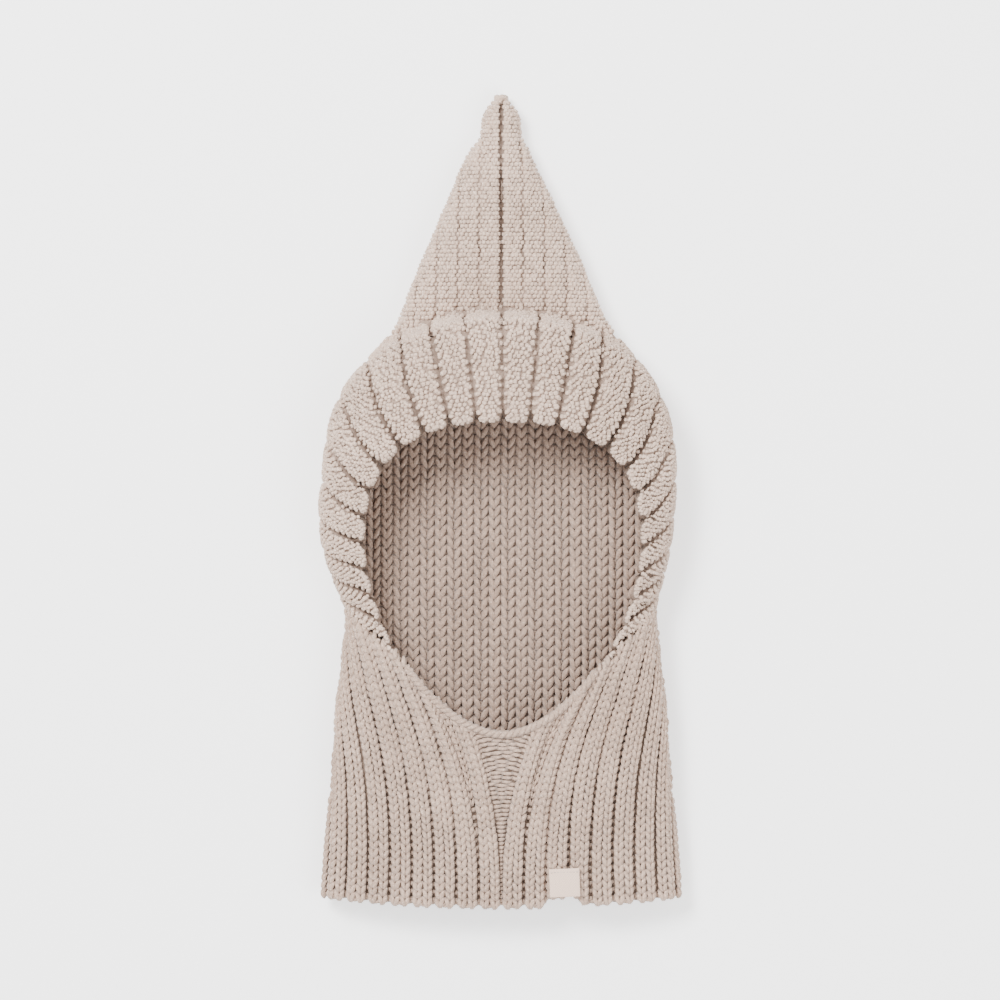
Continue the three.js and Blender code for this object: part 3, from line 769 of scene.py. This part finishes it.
def band_loops(low, first):
    """Loops on the face band and over the outline: as many to a rib as find room, in even rows."""
    grid, along, over, out, _ = hood_lines
    last = len(front_rows) - 1
    found = []
    for rib in range(-ribs_drawn, ribs_drawn):
        middle = (rib + ribs_drawn + 0.5) * per_rib
        # The loops get finer from the second rib out
        small = 1 - 0.2 * float(ease((abs(rib + 0.5) - 2) / 3))
        rows = even_rows(grid[int(middle)], row_height * small, first * small)
        pitch = np.linalg.norm(sample((over,), np.full(len(rows), middle), rows)[0], axis=1) * per_rib
        counts = np.clip(np.round(pitch / (least_wide * small)), fewest, most)
        for count in range(fewest, most + 1):
            for k in range(1 if low else 0, count):
                part = (k + (0 if low else 0.5)) / count
                j = (rib + ribs_drawn + part) * per_rib
                i = even_rows(grid[int(round(j))], row_height * small, first * small)
                i = i[:len(counts)][counts[:len(i)] == count]
                n = len(i)
                if not n:
                    continue
                i = i + chance.normal(0, 0.1, n)
                p, a, o, out_way = sample((grid, along, over, out), j + chance.normal(0, 0.4, n), i)
                edge = np.where(i <= last, front_seam(p[:, 0]), back_seam(p[:, 0])) + 0.4
                here = (p[:, 1] > edge) & (p[:, 1] < fold_line(p[:, 0]) + 0.5)
                here &= (i <= last) | ((across(p[:, 0], p[:, 1]) > 0.93) & (p[:, 1] < peak_start))
                wide = np.linalg.norm(o, axis=1) * per_rib / count
                size = stacked(np.clip(wide / loop_wide, 0.4, 0.9), small, small)
                sink = (loops_sunk * small + 0.9 * ease((i - last) / 6))[here, None]
                found.append(in_cloth(p[here], out_way[here], a[here], size[here], sink))
    return together(found)


def tube_loops(height_at, side_out, levels, parts, sink, relief, wide, part_way):
    """Loops in level rows over the peak or the back, at even ways along the cloth from the middle."""
    places = np.array([(k + part) * peak_pitch for k in range(12) for part in parts])
    found = []
    for y in levels:
        for sign in (-1, 1):
            x = sign * half_width(sign, y) * peak_turns
            z = height_at(x, np.full(len(x), y))
            way = np.r_[0, np.cumsum(np.hypot(np.diff(x), np.diff(z)))]
            at = places[places < way[-1] - 0.8]
            if not len(at):
                continue
            at = np.abs(at + chance.normal(0, off_aside, len(at)))
            at = at + part_way(y) * np.exp(-at / 2.5)
            px = np.interp(at, way, x)
            py = y + chance.normal(0, off_up, len(px))

            def skin_at(a, b):
                return height_at(a, b) - side_out * relief(np.interp(np.abs(a), np.abs(x), way), b)

            n = facing(skin_at, px, py, side_out)
            up = stacked(0, 1, -n[:, 1] / np.where(n[:, 2] == 0, 1, n[:, 2]))
            size = stacked(wide + 0 * px, 1, 1)
            found.append(in_cloth(stacked(px, py, skin_at(px, py)), n, up, size, sink))
    return together(found)


def seam_gap(y):
    """How far the loops stand off the peak's middle seam: open low down, nearly shut at one place."""
    shut = np.exp(-((seam_shut - y) / 5) ** 2)
    return 0.35 + 0.6 * float(ease((seam_open - y) / 12) * (1 - 0.8 * shut))


for kind, low, parts, first in (("high", False, (1 / 10, 3 / 10, 5 / 10, 7 / 10, 9 / 10), 1.0),
                                ("low", True, (0, 2 / 10, 4 / 10, 6 / 10, 8 / 10), 1.0 + half_row)):
    levels = np.arange(peak_start + first, tip_top - 3, row_height)
    peak = tube_loops(peak_height_at, 1, levels, parts, loops_sunk, peak_relief, 0.68, seam_gap)
    above = peak[0][:, 1] > fold_line(peak[0][:, 0]) + 0.6
    if low:
        above &= np.abs(peak[0][:, 0]) > 1.3
    peak = [column[above] for column in peak]
    front = together([peak, band_loops(low, first)])
    piece = stitched("hood_front_" + kind + "_loops", *front, loop, purl_yarn, 0.3, 0.12, 11)

    levels = np.arange(back_seam(0.0) + first, tip_top - 3, row_height)
    wales = (2 / 6, 4 / 6) if low else (1 / 6, 3 / 6, 5 / 6)
    back = tube_loops(back_height, -1, levels, wales, loops_sunk_behind,
                      lambda way, y: 1.3 * roll(way / peak_pitch), 1.02, lambda y: 0.0)
    x, y = back[0][:, 0], back[0][:, 1]
    there = (y > back_seam(x) + 0.4) & ((across(x, y) < 0.95) | (y > peak_start))
    back = [column[there] for column in back]
    piece = stitched("hood_back_" + kind + "_loops", *back, plain_loop, purl_yarn, 0.2, 0.1, 12)

# THE NECK'S GROUND
# A tube of rib knit, knit side out, made in one with the hood's yarn. This is the wall between
# and behind its stitches, from the scalloped hem to the seam and the bound-off face edge. Its
# colours are darker than the yarn's, painted shade of the crevices, and darker still in the grooves.

ribs_round = 34
neck_groove, groove_reach = 2.7, 10.6
hem_dip, hem_scallop = 5.0, 1.6
tab_place, tab_wide, tab_notch = 31.5, 15.0, 4.4


def neck_point(sign, turn, y, inset=0.0):
    """A point of the neck: its turn is 0 in front, 1 at the outline and 2 in the middle of the back."""
    x = sign * half_width(sign, y, inset) * np.minimum(np.sin(turn * math.pi / 2), 0.9999)
    z = np.where(turn <= 1, front_height(x, y, inset), back_height(x, y, inset))
    return np.stack([x, y, z], -1)


def by_share(sign, turn, y):
    """Reads a line round the neck by its share of length."""
    lengths = lengths_along(neck_point(sign, turn, y))
    lengths /= lengths[-1]
    return lambda share: (np.interp(share, lengths, turn), np.interp(share, lengths, y))


def neck_top(sign):
    """The neck's top: the bound-off face edge, the seam in front, then the seam round the back."""
    def turn_at(x, y):
        return np.arcsin(np.clip(np.abs(x) / half_width(sign, y), 0, 1)) / (math.pi / 2)

    bound = face_edge(sign, 1 + (side[sign]["corner"] - 1) * fine)
    x_front = sign * (seam_corner + (waist_width / 2 - seam_corner) * fine)
    x_back = sign * waist_width / 2 * (1 - fine)
    y_front, y_back = front_seam(x_front), back_seam(x_back)
    turn = np.r_[turn_at(bound[:, 0], bound[:, 1]), turn_at(x_front, y_front), 2 - turn_at(x_back, y_back)]
    return by_share(sign, turn, np.r_[bound[:, 1], y_front, y_back])


def hem_level(sign, turn):
    """The hem's level round the neck: lowest in front, with a small notch over the tab."""
    forward = np.maximum(np.cos(turn * math.pi / 2), 0)
    x = sign * hem_width / 2 * np.sin(turn * math.pi / 2)
    notch = np.where(turn < 1, ease((0.75 - np.abs(x - tab_place) / tab_wide) / 0.3), 0)
    return hem_dip * (1 - forward ** 2) + tab_notch * notch


neck_edges = {sign: (by_share(sign, 2 * fine, 0 * fine), neck_top(sign)) for sign in (-1, 1)}


def neck_grid(places, rows, inset=0.0):
    """Points of the neck's cloth: one line up for each place round it, from 0 in front to 1."""
    step = np.diff(places).mean()
    wide = np.r_[places[0] - step, places, places[-1] + step]
    grid = []
    for place in wide % 1.0:
        sign = 1 if place < 0.5 else -1
        share = 2 * min(place, 1 - place)
        hem, top = neck_edges[sign]
        foot, _ = hem(share)
        # The ribs crowd together at the middle of the front
        head, high = top(0.3 * share / (share + 0.08) + (1 - 0.3 / 1.08) * share)
        turn = foot + (head - foot) * rows ** (2.6 if foot < 1 else 1.4)
        low = hem_level(sign, foot) + hem_scallop * roll(place * ribs_round)
        grid.append(neck_point(sign, turn, low + (high - low) * rows, inset))
    grid = np.array(grid)
    along, over, out = slopes(grid)
    deep = np.zeros(grid.shape[:2])
    if inset == 0:
        pitch = np.linalg.norm(over, axis=2) / np.diff(wide).mean() / ribs_round
        reach = 0.5 * np.minimum(pitch, groove_reach)
        away = np.abs((wide * ribs_round) % 1 - 0.5)[:, None] * pitch / reach
        dip = 1 - np.sqrt(np.maximum(1 - np.minimum(away, 1) ** 2.4, 0))
        deep = neck_groove * (0.35 + 0.65 * ease((1 - rows) / 0.16)) * dip
        grid = grid - out * deep[..., None]
        along, over, out = slopes(grid)
    return grid[1:-1], along[1:-1], over[1:-1], out[1:-1], deep[1:-1]


neck_rows = np.linspace(0, 1, 121)
neck_places = np.arange(ribs_round * per_rib + 1) / (ribs_round * per_rib)
neck_lines = neck_grid(neck_places, neck_rows)
neck_skin, neck_out, deep = [neck_lines[k][:-1:2, ::2] for k in (0, 3, 4)]
on_back = ease((0.25 - np.abs(neck_places[:-1:2] - 0.5)) / 0.02)[:, None, None]
neck_inner, _, _, inner_out, _ = neck_grid(neck_places[:-1:2], neck_rows[::2], inner_inset)
more = np.maximum(spread(deep, 2) + 2.6 - inner_inset, 0)[..., None]
neck_inner = neck_inner - inner_out * more
# The neck ground's colours are darker than the yarn's: painted shade of the crevices between stitches
knit_ground = ground_cloth("knit_ground", colour(118, 98, 85), colour(150, 129, 115),
                           colour(174, 154, 141))
keep = np.ones((len(neck_skin), neck_skin.shape[1] - 1), bool)
neck_outer = neck_skin - neck_out * (ground_depth + deeper_behind * on_back)
shadow = 0.8 * (deep / neck_groove) ** 2
neck_ground = shell("neck_ground", neck_outer, neck_inner, keep, wrap=True, groove=shadow)
neck_ground.data.materials.append(knit_ground)
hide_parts("neck")
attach(neck_ground, "root")

# THE NECK'S STITCHES
# Two columns of knit stitches to each rib. Each stitch is a V of two plump legs of the same yarn,
# which grow out of the V below. A narrow purl groove lies between the ribs.

knit_yarn = yarn_material("knit_yarn", colour(142, 117, 100), colour(187, 160, 142), colour(217, 196, 181))


def knit_vee(aside, bend, run, rise, thick):
    """A V of two plump legs. Each pair of sizes is where a leg starts and how far it goes."""
    t = np.linspace(0, 1, 6)
    arch = np.sin(math.pi * t)
    return joined(*[yarn(np.stack([m * (aside[0] + aside[1] * t ** bend), run[0] + run[1] * t,
                                   rise[0] + rise[1] * arch ** 0.7], -1), thick[0] + thick[1] * arch, 5)
                    for m in (-1, 1)])


vee = knit_vee((0.35, 1.45), 1.25, (-1.9, 4.2), (-0.8, 1.45), (0.62, 0.5))
rung = yarn([(-1, 0, -0.5), (0, 0, 0.35), (1, 0, -0.5)], [0.7, 0.85, 0.7], 5)
neck_row, rung_row, knit_wide, rung_wide = 3.8, 2.05, 4.9, 2.6
vee_high, first_row = 3.25, 1.2
vees, rungs = [], []
grid, along, over, out, _ = neck_lines


def up_line(place, high):
    """Rows at even steps up one line of the neck, and how wide a rib is at each."""
    i = even_rows(grid[int(place)], high, first_row)
    pitch = np.linalg.norm(sample((over,), np.full(len(i), place), i)[0], axis=1) * per_rib
    return i, pitch, np.minimum(0.48 * pitch, 1.15 * knit_wide)


def put(found, rib, line, row, size, sink):
    """Adds stitches of one rib, or of the gap beside it, at these places of the cloth."""
    p, a, n = sample((grid, along, out), line, row)
    found.append((*in_cloth(p, n, a, size, sink), np.full(len(p), rib)))


def columns_in(gap, counts, free, pitch):
    """Even columns over the free width of a gap: how many there, which one, in which rows and where."""
    for count in range(1, int(counts.max()) + 1):
        for k in range(count):
            here = counts == count
            if here.any():
                shift = ((k + 0.5) / count - 0.5) * free[here] / pitch[here] * per_rib
                yield count, k, here, (gap + shift) % (ribs_round * per_rib)


for rib in range(ribs_round):
    sink = 0.9 + 0.95 * float(ease((0.25 - abs((rib + 0.5) / ribs_round - 0.5)) / 0.03))
    middle, gap = (rib + 0.5) * per_rib, float(rib * per_rib)
    i, pitch, wide = up_line(middle, neck_row)
    for m in (-1, 1):
        size = stacked(wide / knit_wide, neck_row / vee_high, 1)
        put(vees, rib, middle + m * 0.5 * wide / pitch * per_rib, i, size, sink)
    if rib == 0:
        # The widest gap, in the middle of the front, has a ladder of rungs
        i, pitch, wide = up_line(gap, rung_row)
        free = np.maximum(pitch - 2 * wide, 1.2)
        beside = np.maximum(np.round(free / 5.2), 1) * (i < len(neck_rows) - 2)
        for count, k, here, line in columns_in(gap, beside, free, pitch):
            size = stacked((free[here] / count + 1.4) / rung_wide, 1.25, 1)
            put(rungs, rib, line, i[here] + 0.5 * (k % 2), size, sink - 0.1)
        continue
    i, pitch, wide = up_line(gap, neck_row)
    free = pitch - 2 * wide
    least = 3.4 if abs((rib + 0.5) / ribs_round - 0.5) > 0.3 else 2.0
    beside = np.where(free > least, np.maximum(np.round(free / knit_wide + 0.35), 1), 0)
    for count, k, here, line in columns_in(gap, beside, free, pitch):
        put(vees, rib, line, i[here], stacked(free[here] / count / knit_wide, 1, 1), sink)
    bars = (beside == 0) & (free > 0.35)
    if bars.any():
        size = stacked((free[bars] + 1.6) / rung_wide, 1.5, 1)
        put(rungs, rib, np.full(bars.sum(), gap), i[bars], size, sink + 0.1)
vees, rungs = together(vees), together(rungs)
for name, stitches, stitch in (("stitches", vees, vee), ("rungs", rungs, rung)):
    in_front = (stitches[4] < ribs_round / 4) | (stitches[4] >= 3 * ribs_round / 4)
    for where_at, part, seed in (("front", in_front, 21), ("back", ~in_front, 22)):
        piece = stitched(f"neck_{where_at}_{name}", *[column[part] for column in stitches[:4]], stitch,
                         knit_yarn, 0.07, 0.06, seed)

# THE STITCHES INSIDE
# The knit side of the hood's back, seen through the face opening: larger V stitches of the same
# yarn in straight columns, which lie in pairs and are worked in one with the wall.

# Its colours are darker than the same yarn outside: painted shade of the hollow under the hood's walls
shaded_inner_yarn = yarn_material("shaded_inner_yarn", colour(128, 103, 87), colour(167, 141, 124), colour(196, 174, 159))
inner_wide, inner_row = 6.75, 5.05
inner_vee = knit_vee((0.15, 1.9), 0.9, (-2.4, 4.5), (-0.9, 1.6), (0.5, 0.42))
found = []
for k in range(-13, 14):
    y = np.arange(80.0, 300.0, inner_row) + (0 if k % 2 else 0.6)
    x = k * inner_wide + (0.32 if k % 2 else -0.32) * np.ones_like(y)
    z = back_height(x, y, wall)
    here = (np.abs(x) < half_width(x, y, wall) - 1.2) & (y > back_seam(x) - 6)
    e = 0.3
    dx = (back_height(x + e, y, wall) - back_height(x - e, y, wall)) / (2 * e)
    size = stacked(inner_wide / 4.3 + 0 * x, inner_row / vee_high, 1.5)
    up = np.tile([0.0, -1.0, 0.0], (len(x), 1))
    found.append([column[here] for column in in_cloth(stacked(x, y, z), stacked(-dx, 0, 1), up, size, 0.1)])
piece = stitched("inside_stitches", *together(found), inner_vee, shaded_inner_yarn, 0.06, 0.05, 31)

# THE EDGES AND THE TIP
# A chain of two plies binds off the lower edge of the face opening, a finer one starts the hem,
# and the yarn's end is drawn through the last stitches into a small knot at the tip.


def strands(name, tubes, material):
    """Lengths of yarn as one piece that rides on the part."""
    points, faces, uv = joined(*tubes)
    piece = mesh_piece(name, to_frame(points), faces, uv)
    piece.data.materials.append(material)
    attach(piece, "root")
    return piece


def twisted(line, out, radius, pitch):
    """Two plies of yarn twisted round each other along a line."""
    lengths = lengths_along(line)
    n = max(int(lengths[-1] / 0.8), 8)
    at = np.linspace(0, lengths[-1], n)
    middle, n_out = (np.stack([np.interp(at, lengths, table[:, c]) for c in range(3)], -1)
                     for table in (line, out))
    along = unit(np.gradient(middle, axis=0))
    side_way = unit(np.cross(along, n_out))
    n_out = np.cross(side_way, along)
    plies = []
    for phase in (0, math.pi):
        turn = at / pitch * 2 * math.pi + phase
        path = middle + radius * 0.75 * (np.cos(turn)[:, None] * side_way + np.sin(turn)[:, None] * n_out)
        plies.append(yarn(path, np.full(n, radius), 6))
    return plies


around = np.arange(-6 * per_rib, 6 * per_rib + 1)
line, out = neck_lines[0][around, -1], neck_lines[3][around, -1]
bound = np.abs(line[:, 0] - face_shift) < seam_corner
line, out = line[bound], out[bound]
piece = strands("bound_edge", twisted(line + out * 0.1, out, radius=1.25, pitch=6.4), knit_yarn)
line, out = neck_lines[0][:, 0], neck_lines[3][:, 0]
piece = strands("hem_chain", twisted(line - out * 1.3 + [0, 0.5, 0], out, radius=0.8, pitch=5.5), knit_yarn)

turn = np.linspace(0, 1, 40)
middle = np.array([0, tip_top - 2.4, rim_height(tip_top) + 0.2])
knot = [yarn(middle + np.stack([2.4 * np.sin(2 * math.pi * turn + a), 1.4 * np.cos(4 * math.pi * turn + a),
                                3.3 * np.cos(2 * math.pi * turn + 1.3 * a)], -1), np.full(len(turn), 1.3), 6)
        for a in (0.4, 1.5, 2.6)]
piece = strands("tip_knot", knot, purl_yarn)

# THE HEM TAB
# A small tab of pale woven cotton tape, plain on its face. It lies on the neck's front just over
# the hem, and is sewn down with one line of stitches near its top.

tab_paint, shader, where = cloth("tab_tape")
parts = where.split()
weave = []
for axis, scale in ((0, 5200.0), (1, 4300.0)):
    thread = parts[axis] * scale
    weave.append(thread.sum("SINE", thread))
height = weave[0] * weave[1]
(height * 0.25 + 0.5).mix(colour(206, 177, 158), colour(224, 197, 179)).into(shader, "Base Color")
height.raised(shader, 0.4, 0.0002)
low, high = (np.array(corner) * 1000 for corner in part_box("hem_tab"))
lines, tape_thick = 13, 1.1
gx, gy = np.meshgrid(np.linspace(0, 1, lines), np.linspace(0, 1, lines), indexing="ij")
lift = 0.5 * np.sin(math.pi * gx) + 0.35 * np.sin(2.2 * gy + 1.0)
cx, cy = (low[:2] + high[:2]) / 2
skew = math.radians(2.2)


def skewed(dx, dy, z):
    """Places this far from the tab's middle, turned a little with it."""
    return np.stack([cx + dx * math.cos(skew) - dy * math.sin(skew),
                     cy + dx * math.sin(skew) + dy * math.cos(skew), z], -1)


x, y = low[0] + (high[0] - low[0]) * gx, low[1] + (high[1] - low[1]) * gy
top = skewed(x - cx, y - cy, high[2] + lift) - frame_shift
bottom = top - [0, 0, tape_thick]
tab = shell("hem_tab_tape", top, bottom, np.ones((lines - 1, lines - 1), bool))
tab.data.materials.append(tab_paint)
bevel = tab.modifiers.new("Soft edge", "BEVEL")
bevel.width, bevel.segments, bevel.limit_method = 0.0003, 2, "ANGLE"
thread_paint, shader, where = cloth("tab_thread")
shader.inputs["Base Color"].default_value = colour(198, 183, 174)
t = np.linspace(-1, 1, 5)
below_top, dash_half, thread_radius = 1.7, 0.55, 0.17
dashes = []
for x in np.linspace(low[0] + 1.2, high[0] - 1.2, 9):
    path = skewed(x + dash_half * t - cx, high[1] - below_top - cy, high[2] + 0.62 - 0.25 * t ** 2)
    dashes.append(yarn(path, np.full(5, thread_radius), 5))
points, faces, uv = joined(*dashes)
thread = mesh_piece("hem_tab_stitches", points / 1000, faces, uv)
thread.data.materials.append(thread_paint)
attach(thread, "root")
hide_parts("hem_tab")
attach(tab, "root")

# THE FLOOR, THE LIGHT AND THE VIEW
# A plain pale floor under soft lamps, seen from straight above as the hood lies on its back.

floor_mesh = bpy.data.meshes.new("floor")
half, level = 3, -0.0005
corners = [(-half, -half, level), (half, -half, level), (half, half, level), (-half, half, level)]
floor_mesh.from_pydata(corners, [], [(0, 1, 2, 3)])
floor = placed("floor", floor_mesh)
floor_paint = bpy.data.materials.new("floor_paint")
floor_paint.use_nodes = True
for label, value in (("Base Color", (0.9, 0.9, 0.9, 1)), ("Roughness", 0.9),
                     ("Emission Color", (1, 1, 1, 1)), ("Emission Strength", 0.9)):
    floor_paint.node_tree.nodes["Principled BSDF"].inputs[label].default_value = value
floor_mesh.materials.append(floor_paint)

world = bpy.data.worlds.new("studio")
world.use_nodes = True
for label, value in (("Color", (1, 1, 1, 1)), ("Strength", 1.42)):
    world.node_tree.nodes["Background"].inputs[label].default_value = value
bpy.context.scene.world = world


def lamp(name, place, size, power):
    light = bpy.data.lights.new(name, "AREA")
    light.shape, light.size, light.energy = "SQUARE", size, power
    made = placed(name, light)
    made.location = place
    aim = Vector((0, 0, 0)) - Vector(place)
    made.rotation_mode = "QUATERNION"
    made.rotation_quaternion = aim.to_track_quat("-Z", "Y")


lamp("key", (-0.8, 0.85, 1.75), 0.75, 92)
lamp("fill", (0.9, -0.5, 1.5), 1.2, 24)

camera = placed("camera", bpy.data.cameras.new("camera"))
camera.data.lens, camera.data.sensor_width = 229.5, 36
camera.location = (0, 0, 3.2)
camera.rotation_euler = (0, 0, 0)
bpy.context.scene.camera = camera
